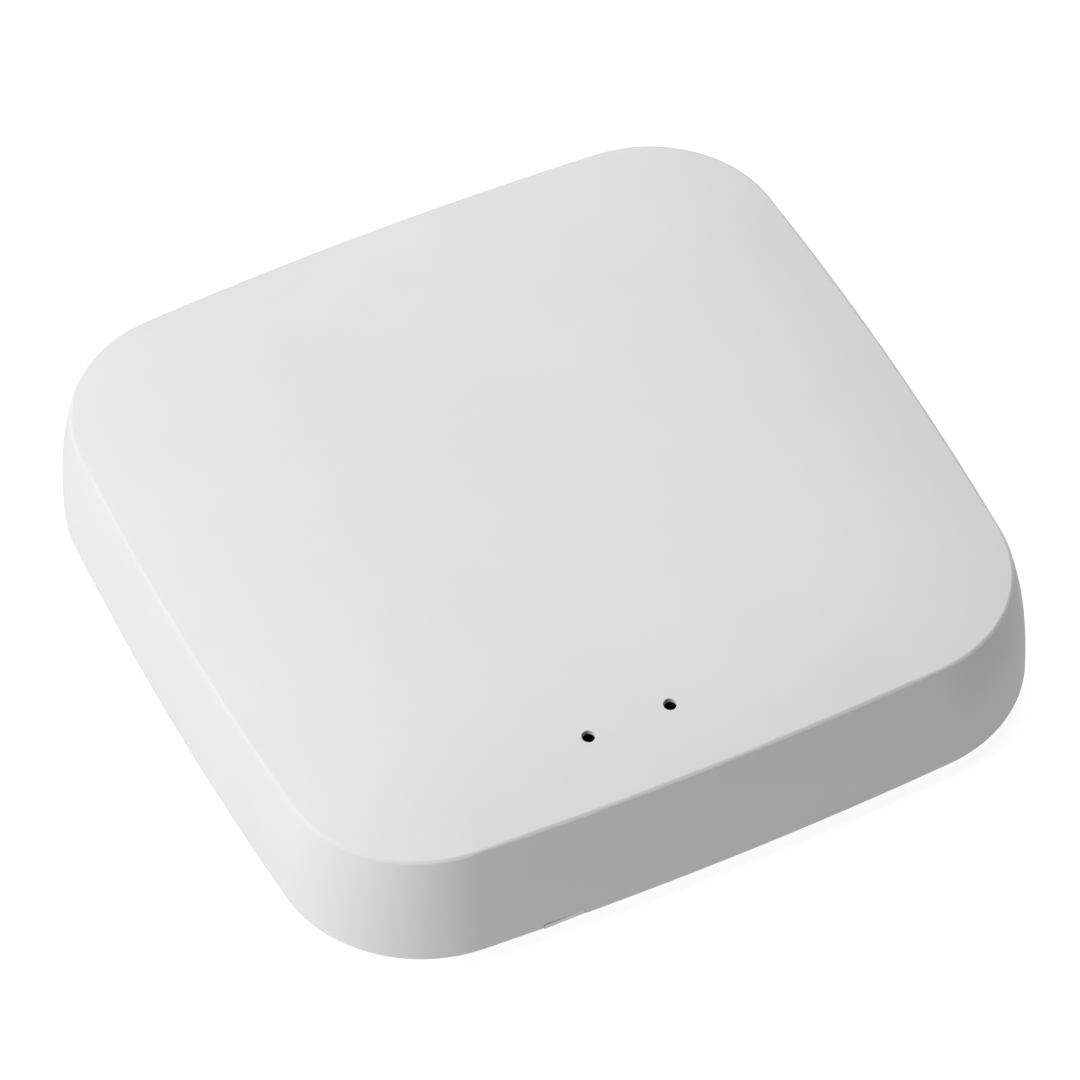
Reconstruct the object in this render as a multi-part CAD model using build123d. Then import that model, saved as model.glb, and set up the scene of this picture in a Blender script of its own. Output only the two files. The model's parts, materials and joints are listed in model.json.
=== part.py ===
"""A palm-sized smart home hub: a domed white case with bowed sides that holds one circuit board.

Sizes are in millimetres. +Z is up and the origin is on the table, under the middle of the case.
The two indicator pinholes are near the front (-Y) edge. The USB socket and the reset key are at the
back (+Y).
"""

from build123d import *

import os
from math import atan2, cos, degrees, hypot, radians, sin, sqrt

# Case
case_width = 60.0  # across the middles of two opposite sides, at the rim
bow_radius = 310.0  # each side of the case bows outwards a little
corner_radius = 11.4
wall_height = 9.9  # from the rim up to the crease round the top
wall_lean = 1.0  # how far the wall has curved inwards at the crease
lean_power = 2.6  # the wall is upright at the rim and leans more and more above it
dome_rise = 1.7  # from the crease up to the middle of the top
dome_power = 4.0  # the top is nearly flat in the middle and falls away towards its edge
shell_wall = 1.8
crease_fillet = 0.3
rim_fillet = 0.25
opening_fillet = 0.2  # round the mouths of the socket's slot and the key's hole

# Base plate
foot_drop = 0.8  # how far the feet stand below the base plate
plate_thickness = 1.8
plate_drop = 0.8  # how far the base plate stands below the rim
lip_width = 0.9  # the part of the wall outside the base plate
fit_gap = 0.15  # between the base plate and the shell, all round
plate_bevel = 0.3
locating_rib = 1.0
locating_rib_height = 1.2
foot_diameter = 8.0
foot_thickness = 1.6
foot_inset = 10.0  # from the side of the case to the middle of a foot
foot_gap = 0.1
label_length, label_width, label_thickness = 30.0, 20.0, 0.12
label_recess, label_corner, label_gap = 0.2, 2.0, 0.3

# Snap hooks, and the notch and tab for prising the case open
hook_offset = 14.0  # from the middle of a side to the middle of a hook
hook_width = 5.0
hook_thickness = 1.1
hook_height = 3.2  # above the base plate's upper face
hook_catch = 0.6  # how far the barb stands out
hook_catch_height = 2.0  # of the barb's catching face above the base plate
hook_gap = 0.25
notch_width, notch_height, notch_x = 3.3, 0.55, -12.5
tab_slope = 0.1  # how much further in the tab's face is at the rim than at its top
tab_gap = 0.05

# Indicator pinholes
led_pitch = 6.5
led_centre_x = -3.95
led_inset = 6.83  # from the front of the case, at the rim, to the pinholes
pinhole_diameter = 0.96
pinhole_web = 0.36  # wall left round a pinhole, over the light baffle's nose
pinhole_edge = 0.06
baffle_length, baffle_width = 10.6, 4.4
nose_length, nose_width = 9.4, 2.9
baffle_bore = 2.0
baffle_gap = 0.1

# Circuit board and its screws
board_lift = 2.4  # from the base plate's upper face to the board
board_thickness = 1.2
board_gap = 0.8  # from the shell's inner face to the board
post_diameter = 4.4
post_inset = 11.0  # from the side of the case to the middle of a post
pilot_diameter, pilot_depth = 1.6, 2.8
screw_clearance = 0.2
screw_shank, screw_grip = 1.56, 2.5
screw_head, screw_head_height = 3.4, 1.2
cross_length, cross_width, cross_depth = 2.0, 0.57, 0.6

# Radio modules, one each side of the board
module_length, module_width, module_thickness = 17.3, 15.0, 0.8
module_edge_gap = 1.0  # from the side of the board to the antenna end
module_y = -2.0
can_length, can_width, can_height, can_wall = 10.6, 12.4, 2.0, 0.2
can_setback = 0.8  # from the module's inner end to the can
pad_notch_diameter, pad_notch_pitch, pad_notches_per_edge = 0.8, 2.0, 5
trace_width, trace_thickness, trace_turns = 0.6, 0.05, 5

# USB socket
socket_width, socket_height, socket_depth, socket_wall = 7.5, 2.45, 5.6, 0.3
socket_taper = 0.9  # the bevel at each lower corner of the socket
socket_recess = 0.7  # from the case's back face to the socket's mouth
socket_lift = 0.05  # from the board to the socket
socket_leg = 0.9
slot_gap = 0.45
tongue_width, tongue_thickness, tongue_length = 3.7, 0.6, 3.9
contact_count, contact_pitch, contact_width, contact_thickness = 5, 0.65, 0.35, 0.15

# Reset key and its switch
key_x = 9.5
key_length, key_height = 4.2, 2.2
key_gap = 0.15
key_proud = 0.4  # how far the key stands out of the case
key_travel = 0.3
key_flange_length, key_flange_thickness = 6.2, 0.8
key_stub = 1.8
key_edge = 0.35
switch_length, switch_depth, switch_height = 6.0, 2.4, 2.8
switch_cover = 0.2
switch_ear_height = 1.7
switch_cavity = 2.3
stem_length, stem_height, stem_proud = 1.7, 1.1, 1.0
stem_flange, stem_flange_thickness = 2.1, 0.3
stem_gap = 0.1
snap_dome_thickness, snap_dome_gap = 0.1, 0.05
snap_dome_spare = 0.05  # how much of the dome's rise is left when the key is fully in
terminal_length, terminal_width, terminal_thickness = 0.8, 0.48, 0.2

# Smaller parts on the board
flash_length, flash_width, flash_height = 4.9, 3.9, 1.5
flash_lead_pitch, flash_leads_per_side = 1.27, 4
dimple_diameter, dimple_depth, dimple_inset = 0.7, 0.1, 1.0
regulator_length, regulator_width, regulator_height = 6.5, 3.5, 1.6
regulator_lead_pitch, regulator_tab_width = 2.3, 3.2
lead_reach, lead_width, lead_thickness = 1.0, 0.4, 0.2
inductor_size, inductor_height, inductor_drum = 4.0, 1.9, 3.4
tantalum_length, tantalum_width, tantalum_height = 3.5, 2.8, 1.9
crystal_length, crystal_width, crystal_height, crystal_lid_inset = 3.2, 2.5, 0.7, 0.15
passive_length, passive_width, passive_cap = 1.6, 0.8, 0.3
passive_step = 0.03  # how far the tinned ends stand out from the body
passives_per_row = 4
resistor_height, capacitor_height = 0.45, 0.8
led_length, led_width, led_base = 1.6, 0.8, 0.3
led_lens_length, led_lens_height = 1.04, 0.35
fuse_length, fuse_width, fuse_height = 3.2, 1.6, 0.6
part_gap = 1.0  # the least room left between two parts on the board

# Heights that follow from the sizes above
case_half = case_width / 2
plate_bottom = foot_drop
rim_z = plate_bottom + plate_drop
plate_top = plate_bottom + plate_thickness
crease_z = rim_z + wall_height
board_bottom = plate_top + board_lift
board_top = board_bottom + board_thickness
board_half = case_half - shell_wall - board_gap
module_top = board_top + module_thickness

# The outline's arcs: the middle of each side's arc lies beyond the far side of the case
side_offset = bow_radius - case_half
corner_reach = bow_radius - corner_radius
corner_centre = (sqrt(2 * corner_reach**2 - side_offset**2) - side_offset) / 2
side_angle = degrees(atan2(corner_centre, corner_centre + side_offset))


def case_outline(inset=0.0):
    """The case's outline at the rim, drawn in by inset, as a face at height 0."""
    edges = []
    for turn in range(0, 360, 90):
        side_middle = Vector(-side_offset, 0).rotate(Axis.Z, turn)
        corner_middle = Vector(corner_centre, corner_centre).rotate(Axis.Z, turn)
        edges.append(CenterArc(side_middle, bow_radius - inset, turn - side_angle, 2 * side_angle))
        edges.append(
            CenterArc(corner_middle, corner_radius - inset, turn + side_angle, 90 - 2 * side_angle)
        )
    return make_face(edges)


def slab(inset, low, high):
    """A straight-sided block with the case's outline, drawn in by inset."""
    return Pos(0, 0, low) * extrude(case_outline(inset), high - low)


def lean_at(height):
    """How far the wall's outer face has curved inwards at this height."""
    return wall_lean * max(0.0, (height - rim_z) / wall_height) ** lean_power


def side_reach(along, inset):
    """How far out a side is, at this distance along it, with the outline drawn in by inset."""
    return sqrt((bow_radius - inset) ** 2 - along**2) - side_offset


def leaning_block(inset, low, high):
    """A block whose sides follow the leaning wall, drawn in by inset."""
    steps = 6
    heights = [low + (high - low) * step / steps for step in range(steps + 1)]
    return loft([Pos(0, 0, z) * case_outline(inset + lean_at(z)) for z in heights])


def crease_reach(angle):
    """The distance from the case's axis to the crease, in this direction in degrees."""
    folded = radians(abs((angle + 45) % 90 - 45))
    bow, corner = bow_radius - wall_lean, corner_radius - wall_lean
    side_end = radians(side_angle)
    last_side_direction = atan2(bow * sin(side_end), bow * cos(side_end) - side_offset)
    if folded <= last_side_direction:
        return sqrt(bow**2 - (side_offset * sin(folded)) ** 2) - side_offset * cos(folded)
    towards = corner_centre * (cos(folded) + sin(folded))
    return towards + sqrt(towards**2 - 2 * corner_centre**2 + corner**2)


def dome_height(x, y):
    """The height of the case's top surface over this point."""
    share = hypot(x, y) / crease_reach(degrees(atan2(y, x)))
    return crease_z + dome_rise * (1 - share**dome_power)


def under_dome(drop):
    """Everything under the domed top surface, moved down by drop, to well below the case."""
    steps, margin = 16, 1.2
    reach = case_half + margin
    marks = [reach * (2 * step / steps - 1) for step in range(steps + 1)]
    grid = [[Vector(x, y, dome_height(x, y) - drop) for x in marks] for y in marks]
    surface = Face.make_surface_from_array_of_points(grid, tol=0.005, min_deg=3, max_deg=5)
    return extrude(surface, amount=crease_z + dome_rise + wall_height, dir=(0, 0, -1))


def bar(length, width, low, high, x=0.0, y=0.0):
    """An upright block, length along X and width along Y, between two heights."""
    return Pos(x, y, (low + high) / 2) * Box(length, width, high - low)


def rod(diameter, low, high, x=0.0, y=0.0):
    """An upright cylinder between two heights."""
    return Pos(x, y, (low + high) / 2) * Cylinder(diameter / 2, high - low)


def along_y(sketch, near, far, x, z):
    """A sketch of width by height, seen from the front, pushed back from near to far."""
    return extrude(Plane((x, near, z), x_dir=(1, 0, 0), z_dir=(0, -1, 0)) * sketch, near - far)


def corners(inset):
    """The four points this far in from two neighbouring sides of the case."""
    place = case_half - inset
    return [(x, y) for x in (-place, place) for y in (-place, place)]


def hook_places():
    """The turn of each side, with the place of each of its two hooks along it."""
    return [(turn, along) for turn in range(0, 360, 90) for along in (-hook_offset, hook_offset)]


# Places that several pieces share
led_y = -(case_half - led_inset)
led_places = [(led_centre_x + side * led_pitch / 2, led_y) for side in (-1, 1)]
pocket_top = dome_height(led_centre_x, led_y) - pinhole_web
socket_z = board_top + socket_lift + socket_height / 2
socket_mouth = side_reach(0, lean_at(socket_z)) - socket_recess
socket_rear = socket_mouth - socket_depth
key_z = board_top + switch_height / 2
key_outer_y = side_reach(key_x, lean_at(key_z)) + key_proud
key_inner_face = (
    side_reach(key_x + key_flange_length / 2, shell_wall + lean_at(key_z + key_height / 2)) - key_gap
)
key_flange_back = key_inner_face - key_flange_thickness
snap_dome_rise = key_travel + snap_dome_spare
stem_tip = key_flange_back - key_stub
switch_face = stem_tip - stem_proud
cavity_face = switch_face - switch_cover
cavity_back = cavity_face - stem_flange_thickness - snap_dome_gap - snap_dome_thickness - snap_dome_rise
switch_back = cavity_face - switch_depth


def write(name, shape):
    """Writes one piece's STEP file."""
    export_step(shape, f"parts/{name}.step")


# ---------------------------------------------------------------- case


def make_top_shell():
    top = crease_z + dome_rise
    outside = leaning_block(0, rim_z, top) & under_dome(0)
    crease = outside.edges().filter_by(lambda edge: abs(edge.center().Z - crease_z) < wall_lean / 2)
    outside = fillet(crease, crease_fillet)
    rim = outside.edges().filter_by(lambda edge: abs(edge.center().Z - rim_z) < rim_fillet / 2)
    outside = fillet(rim, rim_fillet)
    shell = outside - (leaning_block(shell_wall, rim_z, top) & under_dome(shell_wall))
    shell -= slab(lip_width, rim_z, plate_top)
    for turn, along in hook_places():
        inner = side_reach(along, shell_wall)
        depth = hook_catch + hook_gap
        pocket = bar(
            depth + shell_wall,
            hook_width + 2 * fit_gap,
            plate_top + hook_catch_height - fit_gap,
            plate_top + hook_height + fit_gap,
            inner + (depth - shell_wall) / 2 - hook_gap / 2,
            along,
        )
        shell -= Rot(0, 0, turn) * pocket
    shell -= make_shell_openings()
    shell = fillet(shell.edges().filter_by(is_pinhole_mouth), pinhole_edge)
    return fillet(shell.edges().filter_by(is_back_mouth), opening_fillet)


def is_pinhole_mouth(edge):
    """True for the edge round a pinhole on the case's top."""
    middle = edge.bounding_box().center()
    outside = middle.Z > pocket_top + pinhole_web / 2
    return outside and any(hypot(middle.X - x, middle.Y - y) < pinhole_diameter / 2 for x, y in led_places)


def is_back_mouth(edge):
    """True for an outer edge of the socket's slot or of the key's hole."""
    middle = edge.center()
    outside = middle.Y > side_reach(middle.X, shell_wall / 2 + lean_at(middle.Z))
    in_slot = abs(middle.X) < socket_width / 2 + 2 * slot_gap
    in_hole = abs(middle.X - key_x) < key_length / 2 + 2 * key_gap
    above_rim, below_crease = middle.Z > plate_top, middle.Z < crease_z - crease_fillet
    return outside and (in_slot or in_hole) and above_rim and below_crease


def make_shell_openings():
    """The pinholes and their pocket, the socket's slot, the key's hole and the prising notch."""
    ceiling_below = pocket_top - shell_wall - dome_rise
    pocket = SlotOverall(nose_length + 2 * baffle_gap, nose_width + 2 * baffle_gap)
    openings = [Pos(led_centre_x, led_y, ceiling_below) * extrude(pocket, pocket_top - ceiling_below)]
    above = crease_z + 2 * dome_rise
    openings += [rod(pinhole_diameter, ceiling_below, above, x, y) for x, y in led_places]
    outside, inside = case_half + wall_lean, case_half - 2 * shell_wall - wall_lean
    slot = RectangleRounded(socket_width + 2 * slot_gap, socket_height + 2 * slot_gap, 2 * slot_gap)
    openings.append(along_y(slot, outside, inside, 0, socket_z))
    key_hole = SlotOverall(key_length + 2 * key_gap, key_height + 2 * key_gap)
    openings.append(along_y(key_hole, outside, inside, key_x, key_z))
    notch_depth = 2 * lip_width + wall_lean
    low, high = rim_z - notch_height, rim_z + notch_height
    openings.append(bar(notch_width, notch_depth, low, high, notch_x, -case_half))
    return openings


def make_hook():
    """One snap hook on the +X side, standing on the base plate, before it is turned into place."""
    outer = side_reach(hook_offset, shell_wall) - hook_gap
    catch = plate_top + hook_catch_height
    profile = Polyline(
        (outer - hook_thickness, plate_top),
        (outer, plate_top),
        (outer, catch),
        (outer + hook_catch, catch),
        (outer + hook_catch, catch + hook_catch / 2),
        (outer, plate_top + hook_height),
        (outer - hook_thickness, plate_top + hook_height),
        close=True,
    )
    return extrude(Plane.XZ * make_face(profile), hook_width / 2, both=True)


def make_base_plate():
    plate = slab(lip_width + fit_gap, plate_bottom, plate_top)
    plate = chamfer(plate.edges().group_by(Axis.Z)[0], plate_bevel)
    rib_outer = shell_wall + fit_gap
    plate += slab(rib_outer, plate_top, plate_top + locating_rib_height) - slab(
        rib_outer + locating_rib, plate_top, plate_top + locating_rib_height
    )
    for turn, along in hook_places():
        plate += Rot(0, 0, turn) * Pos(0, along, 0) * make_hook()
    for x, y in corners(post_inset):
        plate += rod(post_diameter, plate_top, board_bottom, x, y)
        plate -= rod(pilot_diameter, board_bottom - pilot_depth, board_bottom, x, y)
    for x, y in corners(foot_inset):
        plate -= rod(foot_diameter + 2 * foot_gap, 0, foot_thickness, x, y)
    recess = RectangleRounded(label_length + label_gap, label_width + label_gap, label_corner)
    plate -= Pos(0, 0, plate_bottom) * extrude(recess, label_recess)
    return plate + make_tab()


def make_tab():
    """The base plate's tab, which fills the shell's notch. Its face slopes in towards the rim."""
    outer = -side_reach(notch_x, 0)
    inner = -side_reach(notch_x, lip_width + fit_gap + locating_rib)
    top = rim_z + notch_height - tab_gap
    profile = Polyline((inner, rim_z), (inner, top), (outer, top), (outer + tab_slope, rim_z), close=True)
    half_width = notch_width / 2 - tab_gap
    return Pos(notch_x, 0, 0) * extrude(Plane.YZ * make_face(profile), half_width, both=True)


def make_foot(x, y):
    foot = rod(foot_diameter, 0, foot_thickness, x, y)
    return chamfer(foot.edges().group_by(Axis.Z)[0], foot_drop / 4)


def make_label():
    sticker = RectangleRounded(label_length, label_width, label_corner)
    return Pos(0, 0, plate_bottom + label_recess - label_thickness) * extrude(sticker, label_thickness)


# ---------------------------------------------------------------- board


def make_board():
    board = slab(shell_wall + board_gap, board_bottom, board_top)
    for turn, along in hook_places():
        inner = side_reach(along, shell_wall) - hook_gap - hook_thickness - board_gap
        depth = case_half - inner
        notch = bar(depth, hook_width + 2 * board_gap, board_bottom, board_top, inner + depth / 2, along)
        board -= Rot(0, 0, turn) * notch
    for x, y in corners(post_inset):
        board -= rod(pilot_diameter + 2 * screw_clearance, board_bottom, board_top, x, y)
    return board


def make_screw(x, y):
    """A self-tapping screw with a domed head and a cross recess."""
    head_top = board_top + screw_head_height
    head = rod(screw_head, board_top, head_top, x, y)
    head = fillet(head.edges().group_by(Axis.Z)[-1], screw_head_height / 2)
    for length, width in ((cross_length, cross_width), (cross_width, cross_length)):
        head -= bar(length, width, head_top - cross_depth, head_top, x, y)
    tip = board_bottom - screw_grip
    shank = rod(screw_shank, tip, board_top, x, y)
    return head + chamfer(shank.edges().group_by(Axis.Z)[0], screw_shank / 4)


def module_x(side):
    """The middle of the radio module on this side, -1 for left and 1 for right."""
    return side * (board_half - module_edge_gap - module_length / 2)


def can_x(side):
    return module_x(side) - side * (module_length / 2 - can_setback - can_length / 2)


def make_module_board(side):
    """A small board with half-round solder notches along its two long edges."""
    board = bar(module_length, module_width, board_top, module_top, module_x(side), module_y)
    inner_end = module_x(side) - side * module_length / 2
    for step in range(pad_notches_per_edge):
        x = inner_end + side * (step + 1) * pad_notch_pitch
        for edge in (-1, 1):
            board -= rod(pad_notch_diameter, board_top, module_top, x, module_y + edge * module_width / 2)
    return board


def make_can(side):
    """The shield can: a thin metal lid, open below."""
    x = can_x(side)
    outer = bar(can_length, can_width, module_top, module_top + can_height, x, module_y)
    outer = fillet(outer.edges().filter_by(Axis.Z), can_wall * 2)
    outer = fillet(outer.faces().sort_by(Axis.Z)[-1].edges(), can_wall)
    hollow = bar(
        can_length - 2 * can_wall,
        can_width - 2 * can_wall,
        module_top,
        module_top + can_height - can_wall,
        x,
        module_y,
    )
    return outer - hollow


def make_radio_chip(side):
    """The radio's own chip, under the shield can."""
    size, height = can_length / 2, can_height / 2
    return bar(size, size, module_top, module_top + height, can_x(side), module_y)


def make_antenna(side):
    """The printed antenna: a square-cornered meander in the clear end of the module."""
    can_end = can_x(side) + side * can_length / 2
    module_end = module_x(side) + side * module_length / 2
    near, far = can_end + side * trace_width, module_end - side * trace_width
    middle, run = (near + far) / 2, abs(far - near)
    pitch = (module_width - 2 * trace_width) / (2 * trace_turns)
    low, high = module_top, module_top + trace_thickness
    start = module_y - trace_turns * pitch
    trace = bar(run, trace_width, low, high, middle, start)
    ends = (far - side * trace_width / 2, near + side * trace_width / 2)
    for step in range(2 * trace_turns):
        y = start + step * pitch
        trace += bar(trace_width, pitch + trace_width, low, high, ends[step % 2], y + pitch / 2)
        trace += bar(run, trace_width, low, high, middle, y + pitch)
    return trace


# ---------------------------------------------------------------- socket


def socket_profile(inset):
    """The socket's cross-section: a flat top and bevelled lower corners."""
    half = socket_width / 2 - inset
    top, bottom = socket_height / 2 - inset, -socket_height / 2 + inset
    bevel = socket_taper
    outline = Polyline(
        (-half, top),
        (half, top),
        (half, bottom + bevel),
        (half - bevel, bottom),
        (bevel - half, bottom),
        (-half, bottom + bevel),
        close=True,
    )
    return make_face(outline)


def make_socket_shell():
    body = along_y(socket_profile(0), socket_mouth, socket_rear, 0, socket_z)
    body -= along_y(socket_profile(socket_wall), socket_mouth, socket_rear + socket_wall, 0, socket_z)
    body -= bar(tongue_width, 3 * socket_wall, socket_z - socket_height / 2, socket_z, 0, socket_rear)
    leg_y = (socket_rear + board_half) / 2
    for side in (-1, 1):
        wall_x, foot_x = side * (socket_width - socket_wall) / 2, side * (socket_width + socket_leg) / 2
        body += bar(socket_wall, 2 * socket_leg, board_top, socket_z, wall_x, leg_y)
        body += bar(socket_leg, 2 * socket_leg, board_top, board_top + socket_wall, foot_x, leg_y)
    return body


def make_contact(index):
    """One spring contact, along the underside of the tongue and down to the board behind it."""
    x = (index - (contact_count - 1) / 2) * contact_pitch
    tongue_bottom = socket_z + socket_height / 2 - socket_wall - 2 * tongue_thickness
    low, high = tongue_bottom - contact_thickness, tongue_bottom
    mouth = socket_rear + 2 * socket_wall + tongue_length - contact_pitch
    rear = socket_rear - contact_pitch
    contact = bar(contact_width, mouth - rear, low, high, x, (mouth + rear) / 2)
    contact += bar(contact_width, contact_thickness, board_top, high, x, rear + contact_thickness / 2)
    return contact + bar(contact_width, contact_pitch, board_top, board_top + contact_thickness, x, rear)


def make_tongue():
    """The socket's moulded insulator: a block that fills its rear, with the tongue in front."""
    front = socket_rear + socket_wall
    block_end = front + socket_wall * 3
    block = along_y(socket_profile(socket_wall), block_end, front, 0, socket_z)
    top = socket_z + socket_height / 2 - socket_wall - tongue_thickness
    tip = front + socket_wall + tongue_length
    tongue = bar(tongue_width, tip - front, top - tongue_thickness, top, 0, (tip + front) / 2)
    whole = block + chamfer(tongue.edges().filter_by(Axis.X).group_by(Axis.Y)[-1], tongue_thickness / 4)
    return whole - [make_contact(index) for index in range(contact_count)]


# ---------------------------------------------------------------- reset key and switch


def make_key():
    """The moulded key: a rounded end in the case, a flange behind the wall and a stub for the switch."""
    cap = along_y(SlotOverall(key_length, key_height), key_outer_y, key_flange_back, key_x, key_z)
    cap = fillet(cap.edges().group_by(Axis.Y)[-1], key_edge)
    plate = Rectangle(key_flange_length, key_height)
    flange = along_y(plate, key_inner_face, key_flange_back, key_x, key_z)
    stub = along_y(Rectangle(stem_length, stem_height), key_flange_back, stem_tip, key_x, key_z)
    return cap + flange + stub


def make_stem():
    """The switch's plunger, with a flange that its cover holds in."""
    flange_back = cavity_face - stem_flange_thickness
    stalk = along_y(Rectangle(stem_length, stem_height), stem_tip, flange_back, key_x, key_z)
    flange = along_y(Rectangle(stem_flange, stem_flange), cavity_face, flange_back, key_x, key_z)
    return stalk + flange


def make_switch_base():
    base = along_y(Rectangle(switch_length, switch_height), cavity_face, switch_back, key_x, key_z)
    cavity = along_y(Rectangle(switch_cavity, switch_cavity), cavity_face, cavity_back, key_x, key_z)
    return base - cavity


def make_switch_cover():
    """The stamped cover on the switch's face, with two ears bent back along its ends."""
    plate = Rectangle(switch_length, switch_height)
    plate -= Rectangle(stem_length + 2 * stem_gap, stem_height + 2 * stem_gap)
    cover = along_y(plate, switch_face, cavity_face, key_x, key_z)
    for side in (-1, 1):
        x = key_x + side * (switch_length + switch_cover) / 2
        ear = Rectangle(switch_cover, switch_ear_height)
        cover += along_y(ear, switch_face, (cavity_face + switch_back) / 2, x, key_z)
    return cover


def make_snap_dome():
    """The thin sprung disc that clicks under the plunger."""
    width = switch_cavity - 2 * stem_gap
    radius = ((width / 2) ** 2 + snap_dome_rise**2) / (2 * snap_dome_rise)
    middle = cavity_back + snap_dome_rise - radius
    ball = Pos(key_x, middle, key_z) * (Sphere(radius + snap_dome_thickness) - Sphere(radius))
    return ball & along_y(Circle(width / 2), cavity_back + 2 * snap_dome_rise, cavity_back, key_x, key_z)


def make_switch_terminals():
    """Four solder feet beside the switch, on the board."""
    reach = (switch_length + terminal_length) / 2
    top = board_top + terminal_thickness
    return [
        bar(terminal_length, terminal_width, board_top, top, key_x + side * reach, y)
        for side in (-1, 1)
        for y in (switch_back + terminal_length, cavity_face - terminal_length)
    ]


# ---------------------------------------------------------------- lights


def make_led(x, y):
    """One light: its ceramic base and the lens on it."""
    base_top = board_top + led_base
    base = bar(led_length, led_width, board_top, base_top, x, y)
    return [base, bar(led_lens_length, led_width, base_top, base_top + led_lens_height, x, y)]


def make_light_baffle():
    """The black sleeve that keeps each light in its own pinhole."""
    ceiling = dome_height(led_centre_x, led_y - nose_width) - shell_wall
    shoulder = ceiling - 3 * baffle_gap
    body = bar(baffle_length, baffle_width, board_top, shoulder, led_centre_x, led_y)
    body = fillet(body.edges().filter_by(Axis.Z), baffle_width / 6)
    nose = extrude(SlotOverall(nose_length, nose_width), pocket_top - baffle_gap - shoulder)
    bores = [rod(baffle_bore, board_top, pocket_top, x, y) for x, y in led_places]
    return body + Pos(led_centre_x, led_y, shoulder) * nose - bores


# ---------------------------------------------------------------- smaller parts


def passive_places():
    """Where the small two-ended parts stand: each (x, y, kind), in rows beside what they serve."""
    module_front = module_y - module_width / 2
    module_back = module_y + module_width / 2
    inner_end = board_half - module_edge_gap - module_length
    step = passive_length + part_gap
    rows = []
    for index in range(passives_per_row):
        x = inner_end + passive_length / 2 + index * step
        kind = "capacitor" if index % 2 else "resistor"
        rows += [(side * x, module_front - part_gap, kind) for side in (-1, 1)]
        rows.append((-x, module_back + part_gap, "capacitor"))
    for index in range(2):
        rows.append((led_centre_x + baffle_length / 2 + step * (index + 0.5), led_y, "resistor"))
    return rows


def passive_height(kind):
    return resistor_height if kind == "resistor" else capacitor_height


def make_passives(kind):
    length, width = passive_length - 2 * passive_cap, passive_width - 2 * passive_step
    top = board_top + passive_height(kind) - passive_step
    return [bar(length, width, board_top, top, x, y) for x, y, found in passive_places() if found == kind]


def make_passive_terminals():
    """The tinned ends of every resistor and capacitor."""
    reach = (passive_length - passive_cap) / 2
    return [
        bar(passive_cap, passive_width, board_top, board_top + passive_height(kind), x + side * reach, y)
        for x, y, kind in passive_places()
        for side in (-1, 1)
    ]


flash_y = module_y - module_width / 4
crystal_y = flash_y + (flash_length + crystal_width) / 2 + 1.5 * part_gap
power_row_y = module_y + module_width / 2 + part_gap + passive_width + regulator_width / 2 + lead_reach
regulator_x = -(part_gap + regulator_length / 2)
inductor_x = part_gap + inductor_size / 2


def make_flash():
    """The memory chip, with a dimple that marks its first lead."""
    low, high = board_top + lead_thickness / 2, board_top + flash_height
    body = bar(flash_width, flash_length, low, high, 0, flash_y)
    body = chamfer(body.faces().sort_by(Axis.Z)[-1].edges(), lead_thickness)
    dimple_x, dimple_y = dimple_inset - flash_width / 2, flash_y + flash_length / 2 - dimple_inset
    return body - rod(dimple_diameter, high - dimple_depth, high, dimple_x, dimple_y)


def make_lead(x, y, side, shoulder):
    """One bent lead that leaves a chip on its +X or -X side and stands on the board."""
    half = lead_reach / 2
    knee = x + side * half
    lead = bar(half, lead_width, shoulder, shoulder + lead_thickness, x + side * half / 2, y)
    lead += bar(lead_thickness, lead_width, board_top, shoulder + lead_thickness, knee, y)
    return lead + bar(half, lead_width, board_top, board_top + lead_thickness, knee + side * half / 2, y)


def make_chip_leads():
    """The leads of the memory chip and of the regulator."""
    leads = []
    for step in range(flash_leads_per_side):
        y = flash_y + (step - (flash_leads_per_side - 1) / 2) * flash_lead_pitch
        for side in (-1, 1):
            leads.append(make_lead(side * flash_width / 2, y, side, board_top + flash_height / 2))
    turned = Pos(regulator_x, power_row_y, 0) * Rot(0, 0, 90)
    for place in (-regulator_lead_pitch, 0, regulator_lead_pitch):
        lead = make_lead(-regulator_width / 2, place, -1, board_top + regulator_height / 2)
        leads.append(turned * lead)
    tab_x = (regulator_width + lead_reach) / 2
    tab = bar(lead_reach, regulator_tab_width, board_top, board_top + lead_thickness, tab_x, 0)
    return [*leads, turned * tab]


def make_regulator():
    top = board_top + regulator_height
    body = bar(regulator_length, regulator_width, board_top, top, regulator_x, power_row_y)
    return chamfer(body.faces().sort_by(Axis.Z)[-1].edges(), lead_thickness)


def make_inductor():
    """A wound power inductor: a square ferrite base with a round drum on it."""
    half = board_top + inductor_height / 2
    base = bar(inductor_size, inductor_size, board_top, half, inductor_x, power_row_y)
    base = chamfer(base.edges().filter_by(Axis.Z), inductor_size / 6)
    return base + rod(inductor_drum, half, board_top + inductor_height, inductor_x, power_row_y)


def make_tantalums():
    """The supply's two reservoir capacitors: one beside the regulator, one behind it."""
    beside = regulator_x - (regulator_length + tantalum_length) / 2 - part_gap
    behind = power_row_y + (regulator_width + tantalum_width) / 2 + lead_reach + part_gap
    bodies = []
    for x, y in ((beside, power_row_y), (regulator_x - part_gap, behind)):
        body = bar(tantalum_length, tantalum_width, board_top, board_top + tantalum_height, x, y)
        bodies.append(chamfer(body.faces().sort_by(Axis.Z)[-1].edges(), lead_thickness))
    return bodies


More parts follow.
